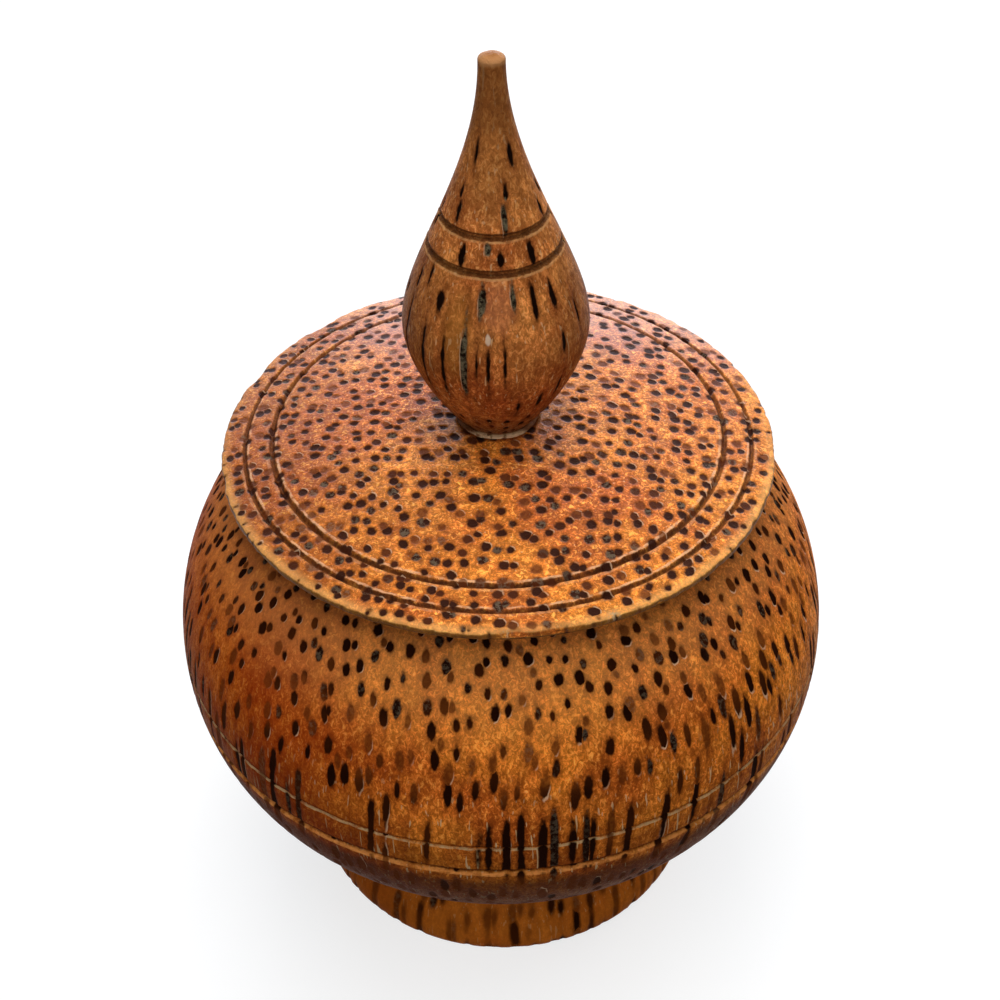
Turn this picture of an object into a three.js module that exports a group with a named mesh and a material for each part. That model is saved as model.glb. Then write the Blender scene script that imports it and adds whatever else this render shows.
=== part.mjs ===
// Turned trinket box of palm wood: a round-bellied bowl on a low foot, closed by a lift-off lid
// that carries a teardrop finial. Millimetres, +Z up, origin at the centre of the foot's underside.
// Every piece is turned on the one upright axis, so each is an outline of [radius, height] points.

import * as THREE from "three";

// Bowl, outside
const BELLY_RADIUS = 35.3;
const BELLY_HEIGHT = 33.8;
const SHOULDER_ARC = 28.5;
const UNDERSIDE_ARC = 22.4;
const UNDERSIDE_TURN = THREE.MathUtils.degToRad(68);
const WAIST = [20.0, 11.0];
const FOOT_BULGE = [22.8, 2.2];
const FOOT_ROUNDING = [22.65, 0.7];
const FOOT_BASE_RADIUS = 22.2;

// Bowl, inside
const MOUTH_RADIUS = 20.6;
const MOUTH_DEPTH = 5.5;
const HOLLOW_RADIUS = 29.8;
const FLOOR_HEIGHT = 9.0;
const RIM_CHAMFER = 0.3;

// Lid
const LID_RADIUS = 28.5;
const LID_TOP_EDGE = 58.0;
const LID_EDGE_THICKNESS = 0.75;
const LID_EDGE_ROUNDING = 0.2;
const LID_DOME_RISE = 3.2;
const SPIGOT_RADIUS = 20.25;
const SPIGOT_DEPTH = 4.0;
const SPIGOT_CHAMFER = 0.4;
const SEAT_RADIUS = 4.4;
const SEAT_HEIGHT = 61.1;
const TENON_HOLE_RADIUS = 2.65;
const TENON_HOLE_DEPTH = 5.5;

// Finial
const NECK_RADIUS = 3.4;
const BALL = [9.16, 73.1];
const SPIRE_END = [1.25, 100.4];
const TIP_ROUNDING = [0.88, 100.85];
const TIP_HEIGHT = 101.0;
const TENON_RADIUS = 2.4;
const TENON_LENGTH = 5.1;

// Glue bead round the finial's neck
const BEAD_INNER_RADIUS = 3.95;
const BEAD_OUTER_RADIUS = 4.35;
const BEAD_HEIGHT = 0.45;
const BEAD_ROUNDING = 0.1;

// Pulls of the curved stretches: each leaves its start towards the first and reaches its end from the second
const FOOT_PULLS = [[FOOT_BULGE[0], 6.0], [WAIST[0], 8.0]];
const HOLLOW_TOP_PULLS = [[26.0, 48.5], [HOLLOW_RADIUS, 41.0]];
const HOLLOW_FLOOR_PULLS = [[HOLLOW_RADIUS, 20.0], [20.0, FLOOR_HEIGHT]];
const BALL_PULLS = [[4.37, 61.94], [BALL[0], 68.34]];
const SPIRE_PULLS = [[BALL[0], 79.3], [1.22, 89.7]];

// V grooves cut by the turner: heights on the bowl and the finial, radii on the lid
const GROOVE_WIDTH = 0.7;
const GROOVE_DEPTH = 0.45;
const BOWL_GROOVES = [31.6, 35.4];
const LID_GROOVES = [23.2, 26.0];
const FINIAL_GROOVES = [82.2, 85.3];

// Gaps where pieces rest on each other
const SEAT_GAP = 0.05;
const LID_GAP = 0.3;

// How finely each turned face and curved stretch is divided
const BOWL_SIDES = 60;
const FINIAL_SIDES = 40;
const FOOT_STEPS = 6;
const UNDERSIDE_STEPS = 10;
const SHOULDER_STEPS = 9;
const HOLLOW_TOP_STEPS = 5;
const HOLLOW_FLOOR_STEPS = 7;
const DOME_STEPS = 10;
const BALL_STEPS = 8;
const SPIRE_STEPS = 14;

const BOWL_FINISH = { color: 0x8c481a, roughness: 0.45, metalness: 0 };
const LID_FINISH = { color: 0xad622d, roughness: 0.4, metalness: 0 };
const FINIAL_FINISH = { color: 0x844821, roughness: 0.38, metalness: 0 };
const GLUE_FINISH = { color: 0xb9a88a, roughness: 0.7, metalness: 0 };

// Outline coordinates, and the heights where lid and bowl meet
const RADIUS = 0;
const HEIGHT = 1;
const FLANGE_UNDERSIDE = LID_TOP_EDGE - LID_EDGE_THICKNESS;
const BOWL_TOP = FLANGE_UNDERSIDE - LID_GAP;

// A solid of revolution about Z from an outline of [radius, height] points
function turned(name, outline, sides, finish) {
  const points = outline.map(([radius, height]) => new THREE.Vector2(radius, height));
  const geometry = new THREE.LatheGeometry(points, sides);
  geometry.rotateX(Math.PI / 2);
  const mesh = new THREE.Mesh(geometry, new THREE.MeshStandardMaterial(finish));
  mesh.name = name;
  return mesh;
}

// A Bezier stretch of an outline as points
function bend(start, pulls, end, steps) {
  const curve = new THREE.CubicBezierCurve(
    new THREE.Vector2(...start),
    new THREE.Vector2(...pulls[0]),
    new THREE.Vector2(...pulls[1]),
    new THREE.Vector2(...end),
  );
  return curve.getPoints(steps).map((point) => [point.x, point.y]);
}

// Point of an outline where one of its two coordinates has the given value
function pointAt(outline, axis, value) {
  for (let i = 1; i < outline.length; i += 1) {
    const before = outline[i - 1];
    const after = outline[i];
    const part = (value - before[axis]) / (after[axis] - before[axis]);
    if (part >= 0 && part <= 1) {
      return before.map((coordinate, k) => coordinate + part * (after[k] - coordinate));
    }
  }
  throw new Error("a groove lies off its outline");
}

// The same outline with a V groove at each given value of one coordinate, cut inwards along the other
function withGrooves(outline, axis, values) {
  const half = GROOVE_WIDTH / 2;
  const clear = GROOVE_WIDTH * 0.75;
  const points = outline.filter((point) => values.every((value) => Math.abs(point[axis] - value) > clear));
  for (const value of values) {
    const bottom = pointAt(outline, axis, value);
    bottom[1 - axis] -= GROOVE_DEPTH;
    points.push(pointAt(outline, axis, value - half), bottom, pointAt(outline, axis, value + half));
  }
  const direction = Math.sign(outline.at(-1)[axis] - outline[0][axis]);
  return points.sort((a, b) => direction * (a[axis] - b[axis]));
}

// Round stretch of the bowl's outside between two angles about its belly, negative below it
function bellyArc(radius, fromAngle, toAngle, steps) {
  const points = [];
  for (let i = 0; i <= steps; i += 1) {
    const angle = fromAngle + ((toAngle - fromAngle) * i) / steps;
    points.push([
      BELLY_RADIUS - radius * (1 - Math.cos(angle)),
      BELLY_HEIGHT + radius * Math.sin(angle),
    ]);
  }
  return points;
}

// Bowl and foot, turned from one block
function bowl() {
  const foot = [
    [0, 0],
    [FOOT_BASE_RADIUS, 0],
    FOOT_ROUNDING,
    ...bend(FOOT_BULGE, FOOT_PULLS, WAIST, FOOT_STEPS),
  ];
  const shoulderTurn = Math.asin((BOWL_TOP - BELLY_HEIGHT) / SHOULDER_ARC);
  const underside = bellyArc(UNDERSIDE_ARC, -UNDERSIDE_TURN, 0, UNDERSIDE_STEPS);
  const shoulder = bellyArc(SHOULDER_ARC, 0, shoulderTurn, SHOULDER_STEPS);
  const belly = withGrooves([...underside, ...shoulder.slice(1)], HEIGHT, BOWL_GROOVES);
  const rim = [
    [MOUTH_RADIUS + RIM_CHAMFER, BOWL_TOP],
    [MOUTH_RADIUS, BOWL_TOP - RIM_CHAMFER],
  ];
  const mouthEnd = [MOUTH_RADIUS, BOWL_TOP - MOUTH_DEPTH];
  const widest = [HOLLOW_RADIUS, BELLY_HEIGHT];
  const inside = [
    ...bend(mouthEnd, HOLLOW_TOP_PULLS, widest, HOLLOW_TOP_STEPS),
    ...bend(widest, HOLLOW_FLOOR_PULLS, [0, FLOOR_HEIGHT], HOLLOW_FLOOR_STEPS).slice(1),
  ];
  return turned("bowl", [...foot, ...belly, ...rim, ...inside], BOWL_SIDES, BOWL_FINISH);
}

// Gently domed top of the lid, from the edge in to the finial's seat
function lidDome() {
  const edge = LID_RADIUS - LID_EDGE_ROUNDING;
  const points = [];
  for (let i = 0; i <= DOME_STEPS; i += 1) {
    const radius = edge - ((edge - SEAT_RADIUS) * i) / DOME_STEPS;
    points.push([radius, LID_TOP_EDGE + LID_DOME_RISE * (1 - (radius / LID_RADIUS) ** 2)]);
  }
  return points;
}

// Lid with an overhanging flange, a spigot that drops into the mouth and a blind hole for the finial
function lid() {
  const spigotBottom = FLANGE_UNDERSIDE - SPIGOT_DEPTH;
  const holeBottom = SEAT_HEIGHT - TENON_HOLE_DEPTH;
  const underside = [
    [0, spigotBottom],
    [SPIGOT_RADIUS - SPIGOT_CHAMFER, spigotBottom],
    [SPIGOT_RADIUS, spigotBottom + SPIGOT_CHAMFER],
    [SPIGOT_RADIUS, FLANGE_UNDERSIDE],
  ];
  const edge = [
    [LID_RADIUS - LID_EDGE_ROUNDING, FLANGE_UNDERSIDE],
    [LID_RADIUS, FLANGE_UNDERSIDE + LID_EDGE_ROUNDING],
    [LID_RADIUS, LID_TOP_EDGE - LID_EDGE_ROUNDING],
  ];
  const seat = [
    [SEAT_RADIUS, SEAT_HEIGHT],
    [TENON_HOLE_RADIUS, SEAT_HEIGHT],
    [TENON_HOLE_RADIUS, holeBottom],
    [0, holeBottom],
  ];
  const top = withGrooves(lidDome(), RADIUS, LID_GROOVES);
  return turned("lid", [...underside, ...edge, ...top, ...seat], BOWL_SIDES, LID_FINISH);
}

// Teardrop finial, with the tenon that is glued into the lid
function finial() {
  const foot = SEAT_HEIGHT + SEAT_GAP;
  const neck = [NECK_RADIUS, foot];
  const tenon = [
    [0, foot - TENON_LENGTH],
    [TENON_RADIUS, foot - TENON_LENGTH],
    [TENON_RADIUS, foot],
  ];
  const ball = bend(neck, BALL_PULLS, BALL, BALL_STEPS);
  const spire = bend(BALL, SPIRE_PULLS, SPIRE_END, SPIRE_STEPS);
  const drop = withGrooves([...ball, ...spire.slice(1)], HEIGHT, FINIAL_GROOVES);
  const tip = [TIP_ROUNDING, [0, TIP_HEIGHT]];
  return turned("finial", [...tenon, ...drop, ...tip], FINIAL_SIDES, FINIAL_FINISH);
}

// Ring of dried glue squeezed out where the finial's neck meets the lid
function glueBead() {
  const bottom = SEAT_HEIGHT + SEAT_GAP;
  const outline = [
    [BEAD_INNER_RADIUS, bottom],
    [BEAD_OUTER_RADIUS, bottom],
    [BEAD_OUTER_RADIUS - BEAD_ROUNDING, bottom + BEAD_HEIGHT / 2],
    [BEAD_INNER_RADIUS + BEAD_ROUNDING, bottom + BEAD_HEIGHT],
    [BEAD_INNER_RADIUS, bottom],
  ];
  return turned("glue_bead", outline, FINIAL_SIDES, GLUE_FINISH);
}

const box = new THREE.Group();
box.add(bowl(), lid(), finial(), glueBead());

export default box;
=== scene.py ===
# Looks of the turned palm-wood trinket box: the camera, a pale studio, and finely turned pieces
# with their finishes. The bowl, lid, finial and glue bead take the place of the plain solids.

import math
from types import SimpleNamespace

import bmesh
import bpy
from mathutils import Matrix, Vector, noise
from mathutils.geometry import interpolate_bezier


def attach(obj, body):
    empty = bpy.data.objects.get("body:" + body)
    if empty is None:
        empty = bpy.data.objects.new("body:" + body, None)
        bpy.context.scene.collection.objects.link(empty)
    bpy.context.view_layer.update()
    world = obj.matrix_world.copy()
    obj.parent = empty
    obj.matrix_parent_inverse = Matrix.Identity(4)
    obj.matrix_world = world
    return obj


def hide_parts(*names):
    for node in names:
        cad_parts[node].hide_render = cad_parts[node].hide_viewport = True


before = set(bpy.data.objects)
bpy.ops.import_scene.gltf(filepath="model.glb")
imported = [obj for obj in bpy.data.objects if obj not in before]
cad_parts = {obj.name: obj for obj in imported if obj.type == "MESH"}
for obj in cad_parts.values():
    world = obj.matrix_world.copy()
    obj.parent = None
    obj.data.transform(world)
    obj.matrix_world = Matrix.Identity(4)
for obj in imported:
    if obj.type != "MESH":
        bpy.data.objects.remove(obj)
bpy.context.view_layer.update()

MM = 0.001

# Camera: where the photograph was taken from in metres, its angles in degrees, its sensor and lens in
# millimetres, and its shift as a share of the sensor
CAMERA_PLACE = (0.0, -0.1369, 0.1690)
CAMERA_DOWN = 41.14
CAMERA_ROLL = -0.97
CAMERA_SENSOR = 36.0
CAMERA_LENS = 61.34
CAMERA_SHIFT = 0.001
CAMERA_NEAREST = 0.01

# Lamps: name, place, aim and size in metres, power in watts, colour
LAMPS = (
    ("top_window", (-0.03, 0.0, 0.82), (0, 0, 0.05), (1.2, 0.5), 7.4, (1, 1, 1)),
    ("front_window", (0.0, -0.8, 0.3), (0, 0, 0.05), (0.5, 0.5), 1.5, (1, 1, 1)),
    ("side_window", (0.55, 0.5, 0.4), (0, 0, 0.05), (0.5, 0.5), 2.4, (1, 1, 1)),
    ("back_window", (0.0, 0.85, 0.18), (0, 0, 0.06), (0.75, 0.2), 5.6, (0.62, 0.78, 1.0)),
)

# Floor and room: the floor in metres, the room by the height of the line of sight, then levels of light
FLOOR_SIZE = 6.0
FLOOR_DROP = 0.02 * MM
FLOOR_FADES = (0.12, 0.7)
FLOOR_GREY = (0.31, 0.0)
FLOOR_GLOW = (0.74, 1.0)
FLOOR_UNSEEN = (0.16, 0.15, 0.14, 1)
ROOM_FADES = (0.6, 0.3)
ROOM_OVERHEAD = 0.12
ROOM_SEEN = 0.97
ROOM_UNSEEN = 0.03
WHITE = (1, 1, 1, 1)

# Bowl, in millimetres as (radius, height)
BELLY = (35.299, 33.8)
SHOULDER_ARC = 28.5
UNDERSIDE_ARC = 22.4
UNDERSIDE_TURN = math.radians(68)
FOOT_BASE = (22.2, 0.0)
FOOT_BULGE = (22.8, 2.2)
WAIST = (20.0, 11.0)
MOUTH_RADIUS = 20.6
MOUTH_BOTTOM = 51.45
RIM_HEIGHT = 57.2
RIM_ROUNDING = 0.35
HOLLOW_RADIUS = 29.8
FLOOR_HEIGHT = 9.0
WALL_LEAST = 1.5

# Lid
LID_RADIUS = 28.5
LID_TOP_EDGE = 58.0
FLANGE_UNDERSIDE = 57.25
LID_EDGE_ROUNDING = 0.2
LID_DOME_RISE = 3.2
SPIGOT_RADIUS = 20.25
SPIGOT_BOTTOM = 53.25
SPIGOT_CHAMFER = 0.4
SEAT = (4.4, 61.1)
TENON_HOLE = (2.65, 55.6)

# Finial, and the bead of glue round its neck
NECK = (3.4, 61.15)
BALL = (9.16, 73.1)
SPIRE_END = (1.25, 100.4)
TIP_HEIGHT = 101.0
TENON = (2.4, 56.05)
BEAD_BOTTOM = 61.11
BEAD_INNER_RADIUS = 3.45
BEAD_EDGE = (4.3, BEAD_BOTTOM)
BEAD_TOP = (3.8, 61.55)

# Pulls of the curved stretches: each leaves its start towards the first and reaches its end from the second
FOOT_EDGE_PULLS = ((22.55, 0.1), (22.8, 1.1))
FOOT_PULLS = ((FOOT_BULGE[0], 6.0), (WAIST[0], 8.0))
WAIST_PULLS = ((20.0, 12.0), (20.6, 12.6))
RIM_PULLS = ((MOUTH_RADIUS + 0.1, RIM_HEIGHT), (MOUTH_RADIUS, RIM_HEIGHT - 0.1))
HOLLOW_TOP_PULLS = ((26.0, 48.5), (HOLLOW_RADIUS, 41.0))
HOLLOW_FLOOR_PULLS = ((HOLLOW_RADIUS, 20.0), (20.0, FLOOR_HEIGHT))
LID_EDGE_PULLS = ((28.42, FLANGE_UNDERSIDE), (LID_RADIUS, FLANGE_UNDERSIDE + 0.1))
BALL_PULLS = ((4.37, 61.94), (BALL[0], 68.34))
SPIRE_PULLS = ((BALL[0], 79.3), (1.22, 89.7))
TIP_PULLS = ((SPIRE_END[0], 100.75), (0.62, TIP_HEIGHT))
BEAD_PULLS = ((4.35, 61.35), (4.05, 61.55))

# Grooves, as place, width and depth: heights on the bowl and finial, radii on the lid
BOWL_GROOVES = ((31.6, 1.0, 0.55), (35.4, 0.5, 0.22))
LID_GROOVES = ((23.2, 0.68, 0.42), (26.0, 0.58, 0.34))
FINIAL_GROOVES = ((82.2, 0.7, 0.4), (85.3, 0.66, 0.34))

# Section of a groove: across it in half widths, and down in depths
GROOVE_SECTION = (
    (-1.35, 0), (-1, 0), (-0.85, 0.08), (-0.3, 0.85), (0, 1), (0.3, 0.85), (0.85, 0.08), (1, 0), (1.35, 0),
)
GROOVE_CLEARANCE = 0.75

# How finely each piece is turned and each stretch of its outline divided
BOWL_SIDES = 480
FINIAL_SIDES = 240
BEAD_SIDES = 180
FACE_STEPS = 3
FOOT_EDGE_STEPS = 4
FOOT_STEPS = 14
WAIST_STEPS = 5
UNDERSIDE_STEPS = 44
SHOULDER_STEPS = 78
HOLLOW_TOP_STEPS = 8
HOLLOW_FLOOR_STEPS = 12
SPIGOT_WALL_STEPS = 4
LID_UNDERSIDE_STEPS = 8
LID_EDGE_STEPS = 2
DOME_STEPS = 96
BALL_STEPS = 34
SPIRE_STEPS = 80
TIP_STEPS = 8
BEAD_STEPS = 5
WEDGES = 12
WELD = 0.0005 * MM
HAIR = 0.05

# Streaks on the front of the real finial: direction in degrees, height, half width, half length, and 1 where
# the streak is filled with grey
FINIAL_STREAKS = (
    (-132, 79.0, 0.44, 1.1, 0), (-140, 73.1, 0.22, 3.6, 0), (-124, 72.9, 0.22, 3.4, 0),
    (-110, 73.9, 0.36, 4.4, 1), (-102, 73.9, 0.15, 1.4, 0), (-95, 73.1, 0.21, 2.3, 0),
    (-85, 73.9, 0.19, 2.4, 0), (-62, 79.3, 0.3, 1.7, 0), (-46, 79.3, 0.35, 1.5, 0),
    (-100, 79.9, 0.4, 1.5, 1), (-77, 80.2, 0.26, 1.3, 1), (-121, 83.5, 0.38, 1.0, 0),
    (-97, 84.3, 0.34, 0.6, 1), (-85, 83.4, 0.3, 0.8, 0), (-55, 83.4, 0.35, 1.1, 0),
    (-137, 87.0, 0.26, 1.0, 0), (-78, 86.8, 0.25, 1.5, 1), (-23, 86.6, 0.26, 0.8, 0),
    (-127, 92.5, 0.17, 1.2, 0), (-54, 92.1, 0.3, 1.1, 0), (-141, 88.7, 0.17, 0.7, 0),
    (-73, 88.9, 0.22, 0.7, 0), (-160, 74.4, 0.2, 3.0, 0), (-45, 74.7, 0.22, 1.2, 0),
    (-59, 67.9, 0.27, 1.2, 0), (-45, 69.2, 0.22, 1.4, 0), (-75, 67.8, 0.18, 1.1, 0),
    (-161, 79.6, 0.22, 1.2, 0), (-148, 80.6, 0.22, 1.2, 0), (-27, 76.3, 0.22, 1.3, 0),
)
PALE_SPOT = (-95, 76.5, 0.26, 0.55, 1)
# Painted highlights on the finial, in the same columns as the streaks
PINK_HIGHLIGHT_PATCH = (-88, 79.4, 1.7, 2.6, 1)
GOLD_HIGHLIGHT_PATCH = (-116, 76.0, 1.6, 4.5, 1)

# Tufts of torn fibre on the lid's edge
LID_TUFTS = ((10.4, -26.3, 58.0), (0.5, -28.4, 57.9))
TUFT_REACH = 0.9

# Palm wood in mm: how far bundles lean sideways on their way up, how unevenly they stand and how ragged their
# edges are. Then the placed streaks, where their filling and the line along it fade, and the sunk pits
BUNDLE_LEAN = 3.0
BUNDLE_UNEVENNESS = 0.85
BUNDLE_RAGGEDNESS = 0.4
PLACED_EDGE = (0.35, 0.15)
FAR_FROM_STREAKS = 9.0
BEHIND_STRETCH = 9.0
FILLING_EDGE = (0.25, 0.1)
LINE_EDGE = (0.16, 0.04)
LINE_SIDE = (-0.6, -1.0)
PIT_EDGE = (0.12, -0.25)
PIT_DEPTHS = (-0.05 * MM, -0.12 * MM)

# Fine relief of the finish
BUNDLE_DIP = 0.08
GRAIN_RISE = 0.05
CRESCENT_RISE = 0.03
TOOL_RING_RISE = 0.02
TOOL_RING_TURN = 9.0

# Wax: how rough it is on low and high grain, and how much rougher in dirt and on unwaxed faces
WAX_ROUGHNESS = (0.42, 0.34)
ROUGHER_IN_DIRT = 0.2
ROUGHER_UNWAXED = 0.3
WAX_TINT = (1.0, 0.85, 0.75, 1.0)

# Looks of the bundles: how much softer they are where the wood is blurred, the halo's two widths and their
# shares, and the width of a painted crescent highlight
BLUR = 0.6
NARROW_HALO = 0.3
WIDE_HALO = 0.7
WIDE_HALO_SHARE = 0.6
CRESCENT_EDGE = (0.09, 0.02)

# Glue: where its front turns pale as painted light, how rough and bright its skin is, and the height of its
# fine lumps
GLUE_LIT_FRONT = (-2.7 * MM, -3.8 * MM)
GLUE_ROUGHNESS = 0.6
GLUE_SPECULAR = 0.03
GLUE_RELIEF = 0.2 * MM

# Shares of what lies over the wood everywhere
HALO_SHARE = 0.5
UNWAXED_SHARE = 0.45
# the crescents are painted highlights on the lit side of some bundles
CRESCENT_SHARE = 0.7

# Wear: chips and fraying from a radius out to the lid's edge, torn lips beside the grooves and how far they
# reach, the spire's tip from a height up, and lumps on the outer side of the glue
RIM_WEAR_RADIUS = 27.7
CHIP_INWARDS = 0.75
CHIP_DOWNWARDS = 0.3
FINE_FRAY = 0.06
COARSE_FRAY = 0.12
BOWL_LIP_TEAR = 0.1
LID_LIP_TEAR = 0.09
FINIAL_LIP_TEAR = 0.07
BOWL_LIP_REACH = 0.35
LIP_REACH = 0.25
TIP_WEAR_HEIGHT = 100.3
TIP_WEAR = 0.12
BEAD_WEAR_RADIUS = 3.6
BEAD_LUMPS = 0.15

# Swatches of the wood's marks
PALE_FIBRE = "ecc48e"
# A painted highlight along the lit side of some bundles
CRESCENT_HIGHLIGHT = "e2b791"
BARE_WOOD = "86603a"
# Painted shade on the bowl's left, a painted light band on its top, painted shade low down and underneath
BOWL_LEFT_SHADE = "962c00"
BOWL_TOP_LIGHT = "d89858"
BOWL_LOW_SHADE = "4a1c06"
BOWL_UNDERSIDE_SHADE = "421c06"
BOWL_FOOT = "dc7824"
# Painted shade round the bowl's waist, under the belly
BOWL_WAIST_SHADE = "2a1206"
# Painted shade in the bowl's grooves and painted highlights on their lips
BOWL_LOW_GROOVE_SHADE = "1a0a04"
BOWL_LOW_LIP_HIGHLIGHT = "ee9a50"
BOWL_TOP_GROOVE_SHADE = "3a1a08"
BOWL_TOP_LIP_HIGHLIGHT = "c8a878"
# Painted shade on the lid's left and a painted reflection at its back; the worn corner is partly a painted
# highlight
LID_LEFT_SHADE = "7c3e0c"
LID_REAR_REFLECTION = "dcc2c4"
LID_WORN_CORNER_HIGHLIGHT = "ffc070"
# Painted shade in the lid's grooves, painted highlights on their lips, and painted shade on its edge face
LID_GROOVE_SHADE = "5a3014"
LID_GROOVE_DEEP_SHADE = "1c0c05"
LID_LIP_HIGHLIGHT = "eebd90"
LID_EDGE_FACE_SHADE = "64400f"
LID_TUFT = "b0a080"
# Painted highlights on the finial, then painted shade on its flanks and neck
FINIAL_PINK_HIGHLIGHT = "a8604a"
FINIAL_GOLD_HIGHLIGHT = "a06a26"
FINIAL_FLANK_SHADE = "3a1200"
FINIAL_NECK_SHADE = "2c1408"
FINIAL_SPIRE = "5a2c14"
# Painted shade in the finial's grooves and painted highlights on their lips
FINIAL_GROOVE_SHADE = "5a3c1c"
FINIAL_GROOVE_DEEP_SHADE = "1c0d05"
FINIAL_LIP_HIGHLIGHT = "d09a62"
FINIAL_SPIRE_END = "6a3c1a"
FINIAL_TIP_EDGE = "c48c5a"
FINIAL_TIP = "94561e"
FINIAL_PALE_SPOT = "dcc0a4"
# The glue's dark brown is painted shade, and its pale patches are painted light on the front
GLUE_SHADED = "6a3618"
GLUE_PALE = "e4bc90"

RADIUS = 0
HEIGHT = 1


# Outlines, all in millimetres as (radius, height) points

def straight(start, end, steps):
    """A straight stretch with its end but without its start."""
    start, end = Vector(start), Vector(end)
    return [tuple(start.lerp(end, step / steps)) for step in range(1, steps + 1)]


def bend(start, pulls, end, steps):
    """A smooth curve with its end but without its start."""
    knots = [Vector((radius, height, 0)) for radius, height in (start, *pulls, end)]
    return [tuple(point)[:2] for point in interpolate_bezier(*knots, steps + 1)[1:]]


def belly_arc(radius, first_angle, last_angle, steps):
    """A round stretch of the bowl's outside between two angles about its widest ring."""
    centre = BELLY[RADIUS] - radius
    points = []
    for step in range(steps + 1):
        angle = first_angle + (last_angle - first_angle) * step / steps
        points.append((centre + radius * math.cos(angle), BELLY[HEIGHT] + radius * math.sin(angle)))
    return points


def crossing(outline, axis, value):
    """Point of an outline where one coordinate has that value."""
    for before, after in zip(outline, outline[1:]):
        low, high = sorted((before[axis], after[axis]))
        if low <= value <= high and low != high:
            part = (value - before[axis]) / (after[axis] - before[axis])
            return [a + part * (b - a) for a, b in zip(before, after)]
    raise ValueError("a groove lies off its outline")


def cut_grooves(outline, axis, grooves):
    """The outline with round-bottomed V grooves cut into it along the other coordinate."""
    def is_clear(point):
        return all(abs(point[axis] - place) > width * GROOVE_CLEARANCE for place, width, _ in grooves)

    points = [point for point in outline if is_clear(point)]
    for place, width, depth in grooves:
        for across, down in GROOVE_SECTION:
            point = crossing(outline, axis, place + across * width / 2)
            point[1 - axis] -= down * depth
            points.append(tuple(point))
    rising = outline[-1][axis] > outline[0][axis]
    return sorted(points, key=lambda point: point[axis], reverse=not rising)


def turned(name, outline, sides):
    """A closed piece turned round the upright axis from its outline, made as equal wedges and welded."""
    shape = bmesh.new()
    ring = [shape.verts.new((radius * MM, 0, height * MM)) for radius, height in outline]
    edges = [shape.edges.new(pair) for pair in zip(ring, ring[1:])]
    bmesh.ops.spin(shape, geom=ring + edges, cent=(0, 0, 0), axis=(0, 0, 1), angle=math.tau / WEDGES,
                   steps=sides // WEDGES, use_duplicate=False)
    wedge = shape.verts[:] + shape.edges[:] + shape.faces[:]
    for wedge_index in range(1, WEDGES):
        copied = bmesh.ops.duplicate(shape, geom=wedge)["geom"]
        corners = [part for part in copied if isinstance(part, bmesh.types.BMVert)]
        turn = Matrix.Rotation(wedge_index * math.tau / WEDGES, 3, "Z")
        bmesh.ops.rotate(shape, verts=corners, cent=(0, 0, 0), matrix=turn)
    bmesh.ops.remove_doubles(shape, verts=shape.verts, dist=WELD)
    bmesh.ops.recalc_face_normals(shape, faces=shape.faces)
    mesh = bpy.data.meshes.new(name)
    shape.to_mesh(mesh)
    shape.free()
    mesh.polygons.foreach_set("use_smooth", [True] * len(mesh.polygons))
    piece = bpy.data.objects.new(name, mesh)
    bpy.context.scene.collection.objects.link(piece)
    return piece


def bowl_outline():
    """From the middle of the base up the outside, over the rim and down the hollow to its floor."""
    shoulder_turn = math.asin((RIM_HEIGHT - BELLY[HEIGHT]) / SHOULDER_ARC)
    underside = belly_arc(UNDERSIDE_ARC, -UNDERSIDE_TURN, 0, UNDERSIDE_STEPS)
    shoulder = belly_arc(SHOULDER_ARC, 0, shoulder_turn, SHOULDER_STEPS)
    foot = [(0, 0), *straight((0, 0), FOOT_BASE, FACE_STEPS)]
    foot += bend(FOOT_BASE, FOOT_EDGE_PULLS, FOOT_BULGE, FOOT_EDGE_STEPS)
    foot += bend(FOOT_BULGE, FOOT_PULLS, WAIST, FOOT_STEPS)
    foot += bend(WAIST, WAIST_PULLS, underside[0], WAIST_STEPS)[:-1]
    belly = cut_grooves([*underside, *shoulder[1:]], HEIGHT, BOWL_GROOVES)
    rim_edge = (MOUTH_RADIUS + RIM_ROUNDING, RIM_HEIGHT)
    mouth_edge = (MOUTH_RADIUS, RIM_HEIGHT - RIM_ROUNDING)
    rim = straight(belly[-1], rim_edge, FACE_STEPS)
    rim += bend(rim_edge, RIM_PULLS, mouth_edge, FACE_STEPS)
    mouth = straight(mouth_edge, (MOUTH_RADIUS, MOUTH_BOTTOM), FACE_STEPS)
    widest = (HOLLOW_RADIUS, BELLY[HEIGHT])
    wall = bend(mouth[-1], HOLLOW_TOP_PULLS, widest, HOLLOW_TOP_STEPS)
    floor = bend(wall[-1], HOLLOW_FLOOR_PULLS, (0, FLOOR_HEIGHT), HOLLOW_FLOOR_STEPS)
    return foot + belly + rim + mouth + wall + floor


def lid_dome_height(radius):
    return LID_TOP_EDGE + LID_DOME_RISE * (1 - (radius / LID_RADIUS) ** 2)


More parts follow.
